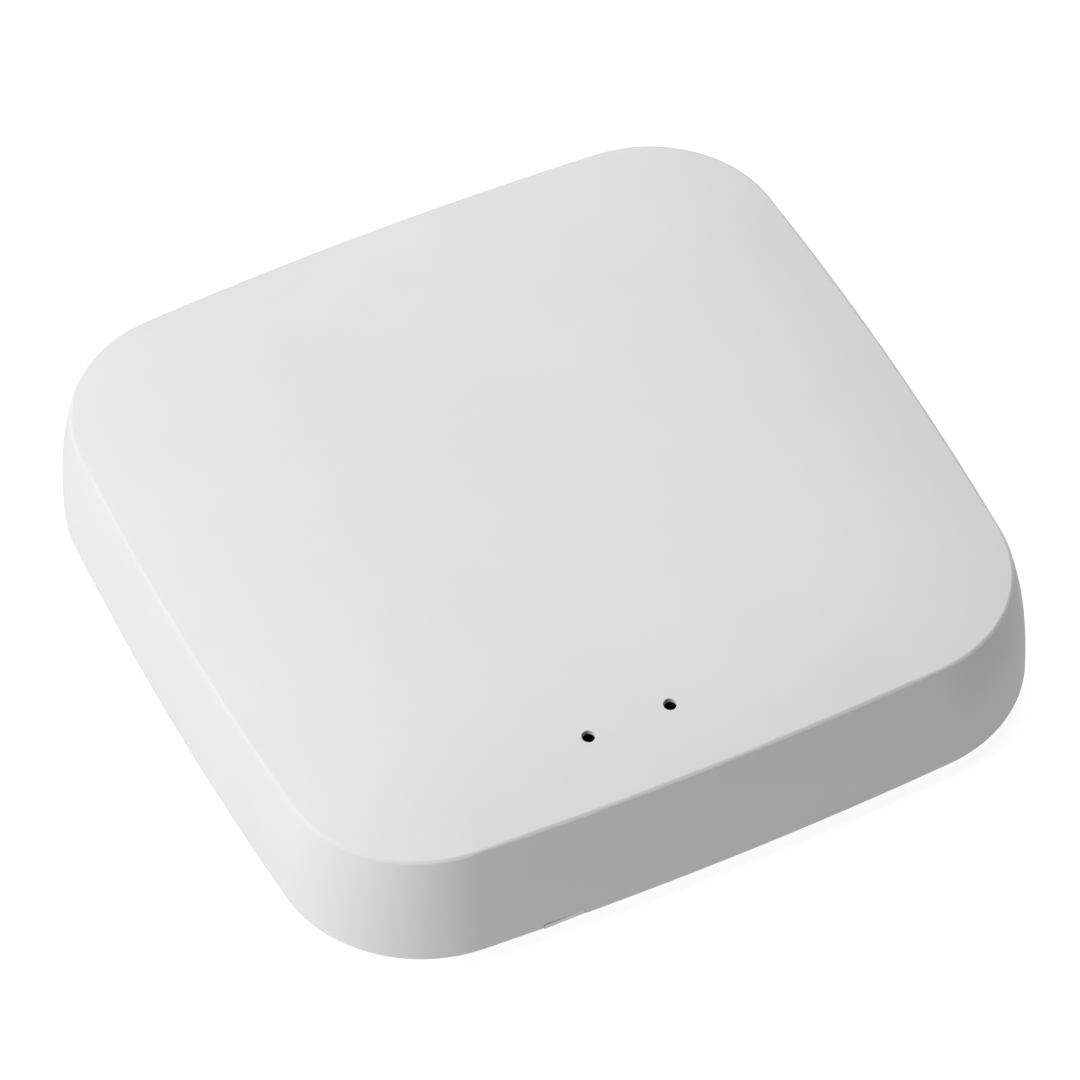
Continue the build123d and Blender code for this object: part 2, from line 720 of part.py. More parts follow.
def make_crystal():
    """A ceramic package with a slightly smaller metal lid."""
    middle, top = board_top + crystal_height / 2, board_top + crystal_height
    base = bar(crystal_length, crystal_width, board_top, middle, 0, crystal_y)
    lid_length, lid_width = crystal_length - 2 * crystal_lid_inset, crystal_width - 2 * crystal_lid_inset
    return base + bar(lid_length, lid_width, middle, top, 0, crystal_y)


def make_fuse():
    """The resettable fuse in the supply line."""
    x = inductor_x + inductor_size / 2 + part_gap + fuse_length / 2
    return bar(fuse_length, fuse_width, board_top, board_top + fuse_height, x, power_row_y)


# ---------------------------------------------------------------- all pieces

os.makedirs("parts", exist_ok=True)

write("top_shell", make_top_shell())
write("base_plate", make_base_plate())
foot_names = ("foot_front_left", "foot_back_left", "foot_front_right", "foot_back_right")
for foot_name, (foot_x, foot_y) in zip(foot_names, corners(foot_inset)):
    write(foot_name, make_foot(foot_x, foot_y))
write("rating_label", make_label())

write("main_board", make_board())
write("board_screws", Compound([make_screw(x, y) for x, y in corners(post_inset)]))
for module_name, module_side in (("network", -1), ("mesh", 1)):
    write(f"{module_name}_module_board", make_module_board(module_side))
    write(f"{module_name}_shield_can", make_can(module_side))
    write(f"{module_name}_radio_chip", make_radio_chip(module_side))
    write(f"{module_name}_antenna_trace", make_antenna(module_side))

write("usb_socket_shell", make_socket_shell())
write("usb_socket_tongue", make_tongue())
write("usb_socket_contacts", Compound([make_contact(index) for index in range(contact_count)]))

write("reset_key", make_key())
write("reset_switch_stem", make_stem())
write("reset_switch_base", make_switch_base())
write("reset_switch_cover", make_switch_cover())
write("reset_switch_dome", make_snap_dome())
write("reset_switch_terminals", Compound(make_switch_terminals()))

for light_name, (light_x, light_y) in zip(("power_led", "network_led"), led_places):
    write(light_name, Compound(make_led(light_x, light_y)))
write("light_baffle", make_light_baffle())

write("memory_chip", make_flash())
write("chip_leads", Compound(make_chip_leads()))
write("voltage_regulator", make_regulator())
write("power_inductor", make_inductor())
write("tantalum_capacitors", Compound(make_tantalums()))
write("crystal_oscillator", make_crystal())
write("resettable_fuse", make_fuse())
write("chip_resistors", Compound(make_passives("resistor")))
write("chip_capacitors", Compound(make_passives("capacitor")))
write("passive_terminals", Compound(make_passive_terminals()))
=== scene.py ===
"""The smart home hub's looks: its materials, the fine detail on its pieces, and the studio round it.

Everything is in metres in the model's own frame: +Z up, -Y the front with the two pinholes, +Y the back.
"""

import json
import math

import bmesh
import bpy
from mathutils import Matrix, Vector
from mathutils.bvhtree import BVHTree


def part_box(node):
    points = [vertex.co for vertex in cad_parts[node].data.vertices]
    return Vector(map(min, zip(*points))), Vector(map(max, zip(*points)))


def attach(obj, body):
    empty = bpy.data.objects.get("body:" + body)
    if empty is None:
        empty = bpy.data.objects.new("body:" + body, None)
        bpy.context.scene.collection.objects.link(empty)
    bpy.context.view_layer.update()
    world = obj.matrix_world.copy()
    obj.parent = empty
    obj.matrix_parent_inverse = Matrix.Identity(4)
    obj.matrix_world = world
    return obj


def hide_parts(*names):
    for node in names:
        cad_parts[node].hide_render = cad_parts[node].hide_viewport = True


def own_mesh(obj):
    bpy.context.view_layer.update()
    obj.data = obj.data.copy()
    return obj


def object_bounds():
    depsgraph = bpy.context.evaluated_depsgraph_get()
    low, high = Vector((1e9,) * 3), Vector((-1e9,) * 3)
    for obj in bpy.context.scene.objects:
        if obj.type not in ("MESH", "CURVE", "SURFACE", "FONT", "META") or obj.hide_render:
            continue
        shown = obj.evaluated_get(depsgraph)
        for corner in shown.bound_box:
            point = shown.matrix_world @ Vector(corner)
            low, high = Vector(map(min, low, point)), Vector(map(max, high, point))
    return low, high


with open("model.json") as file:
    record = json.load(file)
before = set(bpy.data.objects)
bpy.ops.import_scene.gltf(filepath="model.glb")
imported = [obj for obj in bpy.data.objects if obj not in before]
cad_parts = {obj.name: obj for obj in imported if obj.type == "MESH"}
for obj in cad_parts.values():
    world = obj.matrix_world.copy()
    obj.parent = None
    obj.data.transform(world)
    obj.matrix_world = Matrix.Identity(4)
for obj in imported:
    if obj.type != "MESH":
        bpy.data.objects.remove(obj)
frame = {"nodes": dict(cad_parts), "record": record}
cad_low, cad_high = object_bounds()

MM = 0.001
MICRON = MM / 1000
nodes = frame["nodes"]
hub_width = cad_high.x - cad_low.x


# ---------------------------------------------------------------- material helpers


def new_material(name):
    """A material and its shader, ready to be given colours and textures."""
    material = bpy.data.materials.new(name)
    material.use_nodes = True
    return material, material.node_tree.nodes["Principled BSDF"]


def add(material, kind, inputs=(), **settings):
    """Adds a node. Each input is (socket, value): a number, a colour or an output to link."""
    tree = material.node_tree
    node = tree.nodes.new(kind)
    for key, value in settings.items():
        setattr(node, key, value)
    for key, value in inputs:
        feed(material, node, key, value)
    return node


def feed(material, node, key, value):
    """Sets a socket to a number or a colour, or links an output to it."""
    if isinstance(value, bpy.types.NodeSocket):
        material.node_tree.links.new(value, node.inputs[key])
    else:
        node.inputs[key].default_value = value


def noise(material, size, detail=2.0, roughness=0.5, stretch=(1, 1, 1)):
    """Noise whose lumps are about this size, in metres, in the object's own space."""
    coords = add(material, "ShaderNodeTexCoord")
    scaled = add(
        material, "ShaderNodeMapping", [("Vector", coords.outputs["Object"]), ("Scale", stretch)]
    )
    texture = add(
        material,
        "ShaderNodeTexNoise",
        [("Vector", scaled.outputs[0]), ("Scale", 1 / size), ("Detail", detail), ("Roughness", roughness)],
    )
    return texture.outputs["Fac"]


def spread(material, value, low, high):
    """Maps noise, which mostly lies between 0.3 and 0.7, to the range from low to high."""
    mapped = add(
        material,
        "ShaderNodeMapRange",
        [("Value", value), ("From Min", 0.3), ("From Max", 0.7), ("To Min", low), ("To Max", high)],
    )
    return mapped.outputs["Result"]


def tint(material, fac, first, second):
    """A colour between two others."""
    ramp = add(material, "ShaderNodeValToRGB", [("Fac", fac)])
    ramp.color_ramp.elements[0].color = (*first, 1)
    ramp.color_ramp.elements[1].color = (*second, 1)
    ramp.color_ramp.elements[0].position = 0.3
    ramp.color_ramp.elements[1].position = 0.7
    return ramp.outputs["Color"]


def bumps(material, layers):
    """Stacks bump layers, each (height map, depth in metres), and returns the last normal."""
    normal = None
    for height, depth in layers:
        node = add(material, "ShaderNodeBump", [("Height", height), ("Distance", depth)])
        if normal is not None:
            feed(material, node, "Normal", normal)
        normal = node.outputs["Normal"]
    return normal


def shade(colour, change):
    """A colour made lighter or darker by a share of itself."""
    return tuple(part * (1 + change) for part in colour)


# ---------------------------------------------------------------- materials


def moulded_plastic(name, colour, roughness, grain, depth=3 * MICRON, mottle=0.012, specular=0.2):
    """Injection-moulded plastic: a spark-eroded grain, and a faint unevenness in tone and gloss."""
    material, shader = new_material(name)
    broad = noise(material, 9 * MM, detail=3)
    fine = noise(material, grain, detail=3, roughness=0.6)
    darker, lighter = shade(colour, -mottle), shade(colour, mottle)
    feed(material, shader, "Base Color", tint(material, broad, darker, lighter))
    feed(material, shader, "Roughness", spread(material, fine, roughness - 0.04, roughness + 0.05))
    feed(material, shader, "Normal", bumps(material, [(broad, 20 * MICRON), (fine, depth)]))
    shader.inputs["Specular IOR Level"].default_value = specular
    return material


def rubber(name, colour):
    """Matt rubber or silicone with a little dust on it."""
    material, shader = new_material(name)
    fine = noise(material, 0.12 * MM, detail=4, roughness=0.7)
    dust = noise(material, 2 * MM, detail=4)
    feed(material, shader, "Base Color", tint(material, dust, shade(colour, -0.12), shade(colour, 0.1)))
    feed(material, shader, "Roughness", spread(material, dust, 0.72, 0.88))
    feed(material, shader, "Normal", bumps(material, [(fine, 14 * MICRON)]))
    shader.inputs["Specular IOR Level"].default_value = 0.3
    return material


def metal(name, colour, roughness=0.28, brush=(1, 1, 1), scratch=0.3 * MM, depth=2 * MICRON):
    """Bare or plated metal, with rolling marks that run along the short side of brush."""
    material, shader = new_material(name)
    marks = noise(material, scratch, detail=4, roughness=0.65, stretch=brush)
    tarnish = noise(material, 3 * MM, detail=3)
    feed(material, shader, "Base Color", tint(material, tarnish, shade(colour, -0.08), shade(colour, 0.03)))
    feed(material, shader, "Roughness", spread(material, marks, roughness - 0.08, roughness + 0.12))
    feed(material, shader, "Normal", bumps(material, [(marks, depth)]))
    shader.inputs["Metallic"].default_value = 1.0
    return material


def epoxy(name, colour):
    """A chip's moulded body: dark, matt and faintly speckled."""
    material, shader = new_material(name)
    speck = noise(material, 0.09 * MM, detail=5, roughness=0.75)
    feed(material, shader, "Base Color", tint(material, speck, shade(colour, -0.25), shade(colour, 0.35)))
    feed(material, shader, "Roughness", spread(material, speck, 0.5, 0.68))
    feed(material, shader, "Normal", bumps(material, [(speck, 6 * MICRON)]))
    return material


def solder_mask(name, colour):
    """A coated circuit board: the weave of the glass cloth shows faintly under a glossy lacquer."""
    material, shader = new_material(name)
    coords = add(material, "ShaderNodeTexCoord").outputs["Object"]
    weave = None
    for direction in ("X", "Y"):
        wave = add(
            material,
            "ShaderNodeTexWave",
            [("Vector", coords), ("Scale", 1 / (3 * MM)), ("Distortion", 0.4)],
            bands_direction=direction,
        ).outputs["Fac"]
        if weave is None:
            weave = wave
        else:
            weave = add(
                material, "ShaderNodeMath", [(0, weave), (1, wave)], operation="MULTIPLY"
            ).outputs[0]
    cloud = noise(material, 6 * MM, detail=3)
    feed(material, shader, "Base Color", tint(material, cloud, shade(colour, -0.15), shade(colour, 0.2)))
    feed(material, shader, "Roughness", spread(material, cloud, 0.22, 0.34))
    feed(material, shader, "Normal", bumps(material, [(weave, 3 * MICRON), (cloud, 8 * MICRON)]))
    shader.inputs["Coat Weight"].default_value = 0.4
    return material


def printed_film(name, colour):
    """A blank satin label."""
    material, shader = new_material(name)
    fibre = noise(material, 0.2 * MM, detail=4, stretch=(1, 3, 1))
    feed(material, shader, "Base Color", tint(material, fibre, shade(colour, -0.02), shade(colour, 0.02)))
    feed(material, shader, "Roughness", spread(material, fibre, 0.42, 0.55))
    feed(material, shader, "Normal", bumps(material, [(fibre, 2 * MICRON)]))
    return material


def clear_resin(name, colour):
    """A light's lens: milky resin with a warm glow of its phosphor."""
    material, shader = new_material(name)
    haze = noise(material, 0.3 * MM, detail=3)
    feed(material, shader, "Base Color", tint(material, haze, shade(colour, -0.1), shade(colour, 0.05)))
    feed(material, shader, "Roughness", spread(material, haze, 0.12, 0.25))
    feed(material, shader, "Normal", bumps(material, [(haze, 4 * MICRON)]))
    shader.inputs["Transmission Weight"].default_value = 0.25
    return material


case_colour = (0.58, 0.58, 0.58)
slot_materials = {
    "case_white": moulded_plastic("case_plastic", case_colour, 0.7, 0.16 * MM),
    # The base plate's plastic is a tenth lighter than the case's. This is painted light: it makes the base
    # tab, in the shade of the notch, look as light as a lit strip.
    "base_white": moulded_plastic("base_plastic_painted_light", shade(case_colour, 0.1), 0.7, 0.22 * MM, 5 * MICRON),
    "key_white": moulded_plastic("key_plastic", shade(case_colour, -0.03), 0.6, 0.12 * MM),
    "foot_rubber": rubber("foot_rubber", (0.30, 0.30, 0.30)),
    "baffle_black": rubber("black_silicone", (0.012, 0.012, 0.013)),
    "label_film": printed_film("label_film", (0.56, 0.57, 0.58)),
    "board_green": solder_mask("green_board", (0.008, 0.075, 0.03)),
    "module_board": solder_mask("dark_board", (0.008, 0.012, 0.02)),
    "screw_steel": metal("zinc_plated_steel", (0.60, 0.61, 0.63), 0.3),
    "can_metal": metal("tinned_can", (0.70, 0.70, 0.68), 0.32, brush=(0.15, 1, 1)),
    "socket_metal": metal("nickel_plated", (0.66, 0.65, 0.63), 0.25, brush=(1, 0.15, 1)),
    "gold": metal("gold_plated", (0.80, 0.55, 0.22), 0.22),
    "dome_steel": metal("spring_steel", (0.62, 0.62, 0.62), 0.18),
    "crystal_lid": metal("plated_lid", (0.68, 0.66, 0.60), 0.26, brush=(0.2, 1, 1)),
    "solder_tin": metal("solder", (0.68, 0.68, 0.69), 0.3, scratch=0.15 * MM, depth=6 * MICRON),
    "chip_black": epoxy("chip_epoxy", (0.018, 0.018, 0.02)),
    "insulator_black": moulded_plastic(
        "insulator", (0.02, 0.02, 0.021), 0.42, 0.1 * MM, 4 * MICRON, mottle=0.1, specular=0.45
    ),
    "ferrite": epoxy("ferrite", (0.045, 0.045, 0.048)),
    "tantalum": epoxy("tantalum_case", (0.48, 0.25, 0.02)),
    "capacitor_tan": epoxy("ceramic", (0.27, 0.17, 0.09)),
    "fuse_green": epoxy("fuse_coating", (0.02, 0.09, 0.03)),
    "led_lens": clear_resin("led_lens", (0.78, 0.76, 0.55)),
}
masked_copper = solder_mask("masked_copper", (0.025, 0.13, 0.05))
enamelled_copper = metal("enamelled_copper", (0.62, 0.24, 0.09), 0.24)
grey_ink = printed_film("grey_ink", (0.12, 0.12, 0.13))


def dress_nodes():
    """Gives each CAD node the finish of its slot."""
    for part in frame["record"]["subparts"]:
        mesh = nodes[part["node"]].data
        mesh.materials.clear()
        mesh.materials.append(slot_materials[part["material_slot"]])


dress_nodes()


# ---------------------------------------------------------------- mesh helpers

up = Vector((0, 0, 1))
flat = Vector((1, 1, 0))  # times a place, drops its height


def new_piece(name, form, slot, material=None):
    """Makes a bmesh into a piece of the hub, with the finish of one of the record's slots."""
    bmesh.ops.recalc_face_normals(form, faces=form.faces)
    mesh = bpy.data.meshes.new(name)
    form.to_mesh(mesh)
    form.free()
    mesh.materials.append(material or slot_materials[slot])
    piece = bpy.data.objects.new(name, mesh)
    bpy.context.scene.collection.objects.link(piece)
    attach(piece, "hub")
    return piece


def smooth_piece(name, form, slot, material=None):
    """A piece whose gentle bends look smooth and whose corners look sharp."""
    piece = new_piece(name, form, slot, material)
    piece.data.polygons.foreach_set("use_smooth", [True] * len(piece.data.polygons))
    piece.data.set_sharp_from_angle(angle=math.radians(35))
    return piece


def skin(form, rings, closed=False):
    """Joins rings of points into one solid: round and back to the first, or capped at both ends."""
    loops = [[form.verts.new(point) for point in ring] for ring in rings]
    pairs = list(zip(loops, loops[1:]))
    if closed:
        pairs.append((loops[-1], loops[0]))
    else:
        form.faces.new(loops[0])
        form.faces.new(loops[-1])
    for first, second in pairs:
        for here in range(len(first)):
            after = (here + 1) % len(first)
            form.faces.new((first[here], first[after], second[after], second[here]))


def round_ring(centre, radius, count=48, across=Vector((1, 0, 0)), along=Vector((0, 1, 0))):
    """Points round a circle in the plane of two directions."""
    angles = [math.tau * step / count for step in range(count)]
    return [centre + radius * (math.cos(angle) * across + math.sin(angle) * along) for angle in angles]


def box_ring(low, high, height, grow=0.0, corner=0.08 * MM, steps=3):
    """Points round a rectangle with rounded corners, at this height, grown by this much all round."""
    radius = corner + max(grow, 0)
    centre, half = (low + high) / 2, (high - low) / 2
    reach_x, reach_y = half.x + grow - radius, half.y + grow - radius
    points = []
    for quarter, (side_x, side_y) in enumerate(((1, 1), (-1, 1), (-1, -1), (1, -1))):
        for step in range(steps + 1):
            angle = math.tau / 4 * (quarter + step / steps)
            x = centre.x + side_x * reach_x + radius * math.cos(angle)
            y = centre.y + side_y * reach_y + radius * math.sin(angle)
            points.append(Vector((x, y, height)))
    return points


def plate(form, low, high, bottom, thickness, corner=0.08 * MM):
    """A thin plate with rounded corners and a softened upper edge."""
    soft = thickness / 3
    rings = [
        box_ring(low, high, bottom, 0, corner),
        box_ring(low, high, bottom + thickness - soft, 0, corner),
        box_ring(low, high, bottom + thickness, -soft, corner),
    ]
    skin(form, rings)


def frame_line(form, low, high, bottom, thickness, width, corner=0.3 * MM):
    """A thin raised line round a rectangle."""
    rings = [
        box_ring(low, high, bottom, 0, corner),
        box_ring(low, high, bottom + thickness, 0, corner),
        box_ring(low, high, bottom + thickness, -width, corner),
        box_ring(low, high, bottom, -width, corner),
    ]
    skin(form, rings, closed=True)


def washer(form, centre, inner, outer, thickness, count=20):
    """A flat ring that stands up from its centre's height, or down with a negative thickness."""
    raised = centre + thickness * up
    section = [(centre, inner), (centre, outer), (raised, outer), (raised, inner)]
    skin(form, [round_ring(place, radius, count) for place, radius in section], closed=True)


def ribbon(form, points, width, bottom, thickness):
    """A flat strip along a line of points, mitred where it bends."""
    rings = []
    for index, point in enumerate(points):
        before = (point - points[max(index - 1, 0)]).normalized()
        after = (points[min(index + 1, len(points) - 1)] - point).normalized()
        along = (before + after).normalized()
        straight = after if before.length == 0 else before
        side = Vector((-along.y, along.x, 0)) * (width / 2 / max(along.dot(straight), 0.5))
        low = Vector((point.x, point.y, bottom))
        rings.append([low - side, low + side, low + side + thickness * up, low - side + thickness * up])
    skin(form, rings)


def islands(node):
    """The points of each separate solid of a CAD node, in a fixed order."""
    form = bmesh.new()
    form.from_mesh(nodes[node].data)
    bmesh.ops.remove_doubles(form, verts=form.verts, dist=MICRON)
    form.verts.index_update()
    seen, groups = set(), []
    for start in form.verts:
        if start.index in seen:
            continue
        seen.add(start.index)
        group = [start]
        for vert in group:
            for edge in vert.link_edges:
                other = edge.other_vert(vert)
                if other.index not in seen:
                    seen.add(other.index)
                    group.append(other)
        groups.append([vert.co.copy() for vert in group])
    form.free()
    return sorted(groups, key=lambda points: tuple(points_box(points)[0]))


def points_box(points):
    """The lowest and highest corner of some points."""
    low = Vector(min(point[axis] for point in points) for axis in range(3))
    high = Vector(max(point[axis] for point in points) for axis in range(3))
    return low, high


# ---------------------------------------------------------------- what is on the board

board_low, board_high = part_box("main_board")
board_top = board_high.z
board_mesh = nodes["main_board"].data
board_tree = BVHTree.FromPolygons(
    [vert.co for vert in board_mesh.vertices],
    [polygon.vertices for polygon in board_mesh.polygons],
)
module_names = ("network", "mesh")
copper_thickness = 0.02 * MM
pad_pitch, pads_per_edge = 2.0 * MM, 5
notch_radius = 0.4 * MM


def on_board(place, radius):
    """True if the board's upper face is under this whole circle."""
    points = round_ring(Vector((place.x, place.y, board_top + MM)), radius, 12)
    hits = [board_tree.ray_cast(point, -up)[0] for point in points]
    return all(hit is not None and abs(hit.z - board_top) < MICRON for hit in hits)


def terminal_feet():
    """The footprint of every soldered terminal: the part of it that is close to the board."""
    foot_height = 0.25 * MM
    feet = []
    for node in ("passive_terminals", "chip_leads", "reset_switch_terminals"):
        for points in islands(node):
            low, high = points_box([point for point in points if point.z < board_top + foot_height])
            feet.append((low, high, points_box(points)[1].z))
    return feet


def make_solder_joints():
    """A tinned pad under every terminal, and the solder that has run up round it."""
    pad_margin, pad_height, steps = 0.16 * MM, 0.03 * MM, 4
    wetted_share, highest_rise = 0.6, 0.3 * MM
    form = bmesh.new()
    for low, high, top in terminal_feet():
        rise = min(wetted_share * (top - board_top), highest_rise)
        rings = [box_ring(low, high, board_top, pad_margin)]
        for step in range(steps + 1):
            share = step / steps
            height = board_top + pad_height + (rise - pad_height) * share
            rings.append(box_ring(low, high, height, pad_margin * (1 - share) ** 2 + 2 * MICRON))
        skin(form, rings)
    smooth_piece("solder_joints", form, "solder_tin")


def module_pads(name):
    """Where a module's edge pads are, each with the direction from it into the module."""
    low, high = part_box(f"{name}_module_board")
    inner, outward = (low.x, 1) if low.x > 0 else (high.x, -1)
    places = []
    for step in range(pads_per_edge):
        x = inner + outward * (step + 1) * pad_pitch
        places.append((Vector((x, low.y, high.z)), 1))
        places.append((Vector((x, high.y, high.z)), -1))
    return places


def make_module_pads(name):
    """The gold half-round pads along a module's edges, soldered down to the main board."""
    lining, land, plating, steps = 0.05 * MM, 0.25 * MM, 0.03 * MM, 10
    module_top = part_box(f"{name}_module_board")[1].z
    section = [
        (notch_radius - lining, board_top),
        (notch_radius, board_top),
        (notch_radius, module_top),
        (notch_radius + land, module_top),
        (notch_radius + land, module_top + plating),
        (notch_radius - lining, module_top + plating),
    ]
    form = bmesh.new()
    for place, inward in module_pads(name):
        rings = []
        for step in range(steps + 1):
            angle = math.pi * step / steps
            side, deep = math.cos(angle), inward * math.sin(angle)
            rings.append([
                Vector((place.x + radius * side, place.y + radius * deep, height))
                for radius, height in section
            ])
        skin(form, rings)
    smooth_piece(f"{name}_module_pads", form, "gold")


def make_can_embossing(name):
    """The raised frame and the vent dimples pressed into a shield can's top."""
    low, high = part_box(f"{name}_shield_can")
    step, rise, line = 1.6 * MM, 0.05 * MM, 0.4 * MM
    form = bmesh.new()
    inset = Vector((line * 2, line * 2, 0))
    rings = [
        box_ring(low + inset, high - inset, high.z, 0, line),
        box_ring(low + inset, high - inset, high.z + rise, -line / 3, line),
        box_ring(low + inset, high - inset, high.z + rise, -2 * line / 3, line),
        box_ring(low + inset, high - inset, high.z, -line, line),
    ]
    skin(form, rings, closed=True)
    centre = (low + high) / 2
    centre.z = high.z
    for column in (-2, -1, 0, 1, 2):
        for row in (-1.5, -0.5, 0.5, 1.5):
            place = centre + Vector((column * step, row * step * 1.2, 0))
            washer(form, place, line * 0.6, line * 0.9, rise / 2)
    smooth_piece(f"{name}_can_embossing", form, "can_metal")


def bent(start, end):
    """A track's route: straight, then a 45 degree slant in the middle, then straight."""
    across, along = end.x - start.x, end.y - start.y
    slant = min(abs(across), abs(along))
    turn = Vector((math.copysign(slant, across), math.copysign(slant, along), 0))
    straight = (end - start - turn) / 2
    straight.z = 0
    points = [start, start + straight, start + straight + turn, end]
    steps = zip(points, points[1:])
    return [start] + [after for before, after in steps if (after - before).length > MICRON]


def foot_middles(node):
    """The middle of each solid of a node, at the height of the board."""
    middles = []
    for points in islands(node):
        low, high = points_box(points)
        middles.append(Vector(((low.x + high.x) / 2, (low.y + high.y) / 2, 0)))
    return middles


def module_routes(name, side, leads):
    """The fine tracks of one module: to the memory chip, to the small parts beside it and to the switch."""
    low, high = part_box("memory_chip")
    to_pad = Vector((0, notch_radius * 2, 0))
    pads = [place * flat for place, _ in module_pads(name)]
    front = sorted((pad for pad in pads if pad.y < low.y), key=lambda pad: abs(pad.x))
    back = sorted((pad for pad in pads if pad.y > high.y), key=lambda pad: abs(pad.x))
    own = sorted((lead for lead in leads if lead.x * side > 0), key=lambda lead: lead.y)
    routes = [bent(lead, pad - to_pad) for lead, pad in zip(own[:2], front)]
    routes += [bent(lead, pad + to_pad) for lead, pad in zip(own[2:], back)]
    ends = [end for end in foot_middles("passive_terminals") if end.x * side > 0]
    for pad in pads:
        near = min(ends, key=lambda end: (end - pad).length)
        if (near - pad).length < 2 * pad_pitch:
            routes.append(bent(near, pad))
    if name == "mesh":
        inner_feet = sorted(foot_middles("reset_switch_terminals"), key=lambda foot: foot.y)[:2]
        inner_feet.sort(key=lambda foot: foot.x)
        routes += [bent(foot, pad) for foot, pad in zip(inner_feet, back[2:])]
    return routes


def supply_routes():
    """The wide tracks from the socket by way of the fuse and inductor to the regulator and its capacitors."""
    behind_socket = Vector((0, MM, 0))
    supply = [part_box(node) for node in ("resettable_fuse", "power_inductor", "voltage_regulator")]
    stops = [(low + high) / 2 * flat for low, high in supply]
    contacts = foot_middles("usb_socket_contacts")
    routes = [
        bent(contacts[-1] - behind_socket, stops[0]),
        bent(contacts[0] - behind_socket, stops[2]),
    ]
    routes += [[first, second] for first, second in zip(stops, stops[1:])]
    for low, high in map(points_box, islands("tantalum_capacitors")):
        routes.append(bent((low + high) / 2 * flat, stops[2]))
    return routes


def track_routes():
    """Every track on the board's upper face, as (points, width)."""
    fine, power, edge_gap = 0.22 * MM, 0.7 * MM, 3 * MM
    memory_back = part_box("memory_chip")[1].y
    leads = [middle for middle in foot_middles("chip_leads") if middle.y < memory_back]
    routes = []
    for name, side in (("network", -1), ("mesh", 1)):
        routes += [(points, fine) for points in module_routes(name, side, leads)]
    routes += [(points, power) for points in supply_routes()]
    for light in foot_middles("power_led") + foot_middles("network_led"):
        routes.append((bent(light, Vector((light.x, board_low.y + edge_gap, 0))), fine))
    return routes


def make_tracks():
    """The copper tracks, seen as raised lines under the solder mask. No two have the same height."""
    height_step = MICRON / 5
    form = bmesh.new()
    for index, (points, width) in enumerate(track_routes()):
        ribbon(form, points, width, board_top, copper_thickness + index * height_step)
    new_piece("board_tracks", form, "board_green", masked_copper)


def make_vias():
    """A row of plated holes round the board's edge, which ties its ground layers together."""
    pitch, inset, hole, land = 2.5 * MM, 1.1 * MM, 0.15 * MM, 0.3 * MM
    straight_share = 0.7
    count = int((board_high.y - board_low.y) / 2 * straight_share / pitch)
    blocked = [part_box(node) for node in ("network_module_board", "mesh_module_board", "usb_socket_shell")]
    form = bmesh.new()
    for step in range(-count, count + 1):
        for side in (-1, 1):
            for place in (
                Vector((step * pitch, side * (board_high.y - inset), board_top)),
                Vector((side * (board_high.x - inset), step * pitch, board_top)),
            ):
                covered = any(
                    low.x - land < place.x < high.x + land and low.y - land < place.y < high.y + land
                    for low, high in blocked
                )
                if not covered and on_board(place, 2 * land):
                    washer(form, place, hole, land, copper_thickness, 12)
    smooth_piece("board_vias", form, "board_green", masked_copper)


def make_outlines():
    """The printed outline round each larger part on the board."""
    line, margin = 0.12 * MM, Vector((0.35 * MM, 0.35 * MM, 0))
    single = ("memory_chip", "voltage_regulator", "power_inductor", "crystal_oscillator", "resettable_fuse")
    boxes = [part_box(node) for node in single]
    boxes += [points_box(points) for points in islands("tantalum_capacitors")]
    form = bmesh.new()
    for low, high in boxes:
        frame_line(form, low - margin, high + margin, board_top, copper_thickness / 2, line, line)
    for points in islands("board_screws"):
        low, high = points_box(points)
        centre = Vector(((low.x + high.x) / 2, (low.y + high.y) / 2, board_top))
        head = (high.x - low.x) / 2
        washer(form, centre, head + line, head + 3 * line, copper_thickness, 48)
    new_piece("board_outlines", form, "label_film")


def make_polarity_bands():
    """The printed band at the positive end of each tantalum capacitor."""
    form = bmesh.new()
    band, inset, ink, corner = 0.6 * MM, 0.35 * MM, 0.01 * MM, 0.05 * MM
    for low, high in map(points_box, islands("tantalum_capacitors")):
        start = Vector((low.x + inset, low.y + inset, 0))
        end = Vector((low.x + inset + band, high.y - inset, 0))
        plate(form, start, end, high.z, ink, corner)
    new_piece("polarity_bands", form, "label_film")


def make_inductor():
    """The power inductor: a ferrite drum on a square foot, wound with enamelled wire."""
    low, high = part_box("power_inductor")
    middle = (low + high) / 2
    drum, core = 0.425 * (high.x - low.x), 0.29 * (high.x - low.x)
    foot_height, flange_height, edge = 0.4 * MM, 0.42 * MM, 0.08 * MM
    foot_top, flange_bottom = low.z + foot_height, high.z - flange_height
    form = bmesh.new()
    corner = (high.x - low.x) / 6
    rings = [
        box_ring(low, high, low.z, -edge, corner),
        box_ring(low, high, low.z + edge, 0, corner),
        box_ring(low, high, foot_top - edge, 0, corner),
        box_ring(low, high, foot_top, -edge, corner),
    ]
    skin(form, rings)
    profile = [
        (core, foot_top - edge),
        (core, flange_bottom),
        (drum - edge, flange_bottom),
        (drum, flange_bottom + edge),
        (drum, high.z - edge),
        (drum - edge, high.z),
        (drum - 4 * edge, high.z),
        (drum - 5 * edge, high.z - edge / 2),
    ]
    skin(form, [round_ring(Vector((middle.x, middle.y, z)), radius) for radius, z in profile])
    ferrite_piece = smooth_piece("inductor_core", form, "ferrite")
    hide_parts("power_inductor")

    wire, turns, steps, sides = 0.075 * MM, 6, 40, 8
    form = bmesh.new()
    start, rise = foot_top + wire, flange_bottom - foot_top - 2 * wire
    rings = []
    for step in range(turns * steps + 1):
        angle = math.tau * step / steps
        outward = Vector((math.cos(angle), math.sin(angle), 0))
        height = start + rise * step / (turns * steps)
        centre = Vector((middle.x, middle.y, height)) + outward * (drum - 3 * wire)
        rings.append(round_ring(centre, wire, sides, outward, up))
    skin(form, rings)
    smooth_piece("inductor_winding", form, "gold", enamelled_copper)


